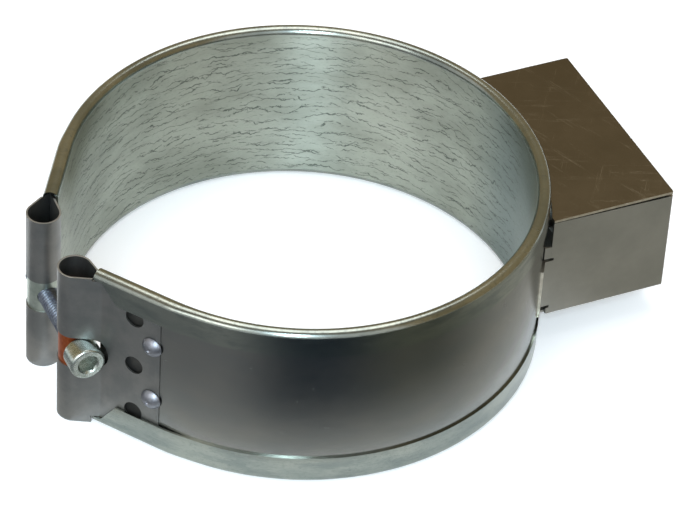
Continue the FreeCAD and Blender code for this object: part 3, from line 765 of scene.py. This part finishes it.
def floor():
    """Pale matt floor just under the part."""
    material, tree, shader = stage_material("pale_floor", 0.9)
    shader.inputs["Roughness"].default_value = 0.9
    tree.links.new((seen_rays(tree)*FLOOR_GLOW).socket, shader.inputs["Emission Color"])
    bm = bmesh.new()
    bmesh.ops.create_grid(bm, x_segments=1, y_segments=1, size=3.0)
    bmesh.ops.translate(bm, vec=(0, 0, (BOTTOM - 0.02)*MM), verts=bm.verts)
    stage_object("floor", bm, material)


def studio_world():
    """White surroundings that light the part at a plain level."""
    world = bpy.data.worlds.new("studio")
    bpy.context.scene.world = world
    world.use_nodes = True
    background = world.node_tree.nodes["Background"]
    level = seen_rays(world.node_tree)*(1 - WORLD_LIGHT) + WORLD_LIGHT
    world.node_tree.links.new(level.socket, background.inputs["Strength"])
    background.inputs["Color"].default_value = (1, 1, 1, 1)


def card(name, radii, turns, heights, colour):
    """Card standing or lying round the part, turned from FRONT in degrees; only glossy rays see it."""
    bm = bmesh.new()
    first, last = (math.radians(turn) for turn in turns)
    start = Vector((math.cos(FRONT + first), math.sin(FRONT + first), 0))
    verts = [bm.verts.new((start*r + Vector((0, 0, z)))*MM) for r, z in zip(radii, heights)]
    edge = bm.edges.new(verts)
    bmesh.ops.spin(bm, geom=[edge] + verts, cent=(0, 0, 0), axis=(0, 0, 1), dvec=(0, 0, 0),
                   angle=last - first, steps=48)
    material, tree, shader = stage_material(name, 0)
    if callable(colour):
        tree.links.new(colour(tree).socket, shader.inputs["Emission Color"])
    else:
        shader.inputs["Emission Color"].default_value = colour
    ob = stage_object(name, bm, material)
    ob.visible_camera = ob.visible_diffuse = ob.visible_shadow = ob.visible_transmission = False


def table_shade(tree):
    """Dark blue-grey straight in front, fading to grey, olive and pale round the sides and close in."""
    pos = Val(tree, tree.nodes.new("ShaderNodeTexCoord").outputs["Object"])
    x, y = pos.parts(2)
    ahead = x*math.cos(FRONT) + y*math.sin(FRONT)
    aside = y*math.cos(FRONT) - x*math.sin(FRONT)
    turn = aside.math("ARCTAN2", aside, ahead)*(180/math.pi)
    squared = x*x + y*y
    away = squared.math("SQRT", squared)
    right = turn.between(45, 82).mix(srgb(104, 106, 95), srgb(184, 183, 174))
    sides = turn.between(-10, 30).mix(srgb(150, 153, 156), right)
    core = turn.between(-25, 3)*turn.between(10, 42, 1.0, 0.0)
    return away.between(0.074, 0.104).mix(srgb(228, 230, 228), core.mix(sides, srgb(44, 55, 67)))


def lamp(name, place_at, size, power, colour=(1, 1, 1)):
    """Soft lamp aimed at the part; its place and size are in metres."""
    data = bpy.data.lights.new(name, "AREA")
    data.shape, data.size, data.size_y = "RECTANGLE", size[0], size[1]
    data.energy, data.color = power, colour
    ob = bpy.data.objects.new(name, data)
    ob.location = place_at
    ob.rotation_euler = (-Vector(place_at)).to_track_quat("-Z", "Y").to_euler()
    bpy.context.scene.collection.objects.link(ob)


def from_front(turn, high, distance):
    """Place at a distance from the part, turned from FRONT and raised, in degrees."""
    a, e = FRONT + math.radians(turn), math.radians(high)
    return (distance*math.cos(a)*math.cos(e), distance*math.sin(a)*math.cos(e), distance*math.sin(e))


def studio_camera():
    """Camera about 1.1 m away, turned 25 degrees from the part's axes and looking 41 degrees down."""
    distance = 1142.934
    el, roll, tx, ty, yaw = (math.radians(a) for a in (40.943, 3.099, -0.617, 0.893, YAW))
    back = Vector((0, -math.cos(el), math.sin(el)))
    fwd, right = -back, Vector((1, 0, 0))
    up = right.cross(fwd)
    fwd, right = (Matrix.Rotation(tx, 3, up) @ v for v in (fwd, right))
    fwd = Matrix.Rotation(ty, 3, right) @ fwd
    up = right.cross(fwd)
    side = right*math.cos(roll) + up*math.sin(roll)
    top = -right*math.sin(roll) + up*math.cos(roll)
    turn = Matrix.Rotation(-yaw, 3, "Z")
    side, top, fwd = turn @ side, turn @ top, turn @ fwd
    data = bpy.data.cameras.new("camera")
    data.sensor_fit, data.sensor_width, data.lens = "HORIZONTAL", 36.0, 210.34306
    ob = bpy.data.objects.new("camera", data)
    ob.matrix_world = Matrix((side, top, -fwd)).transposed().to_4x4()
    ob.location = (turn @ (back*distance) + Vector((0, 0, BOTTOM)))*MM
    bpy.context.scene.collection.objects.link(ob)
    bpy.context.scene.camera = ob


floor()
studio_world()
card("table_card", (78, 620), (-84, 110), (BOTTOM + 0.4, BOTTOM + 0.4), table_shade)
card("brown_back_card", (760, 760), (45, 265), (BOTTOM, 1100), srgb(184, 165, 130))
card("brown_ceiling_card", (0.1, 1000), (0, 360), (1100, 1100), srgb(150, 138, 118))
lamp("overhead", (0.1, 0.2, 0.9), (0.6, 0.6), 4.5)
lamp("left_front", (-0.9, -0.5, 0.6), (0.5, 0.5), 3)
lamp("window", from_front(-1, 34, 1.2), (0.08, 0.7), 12.0, (0.70, 0.87, 1.0))
studio_camera()
bpy.context.scene.view_settings.view_transform = "Standard"
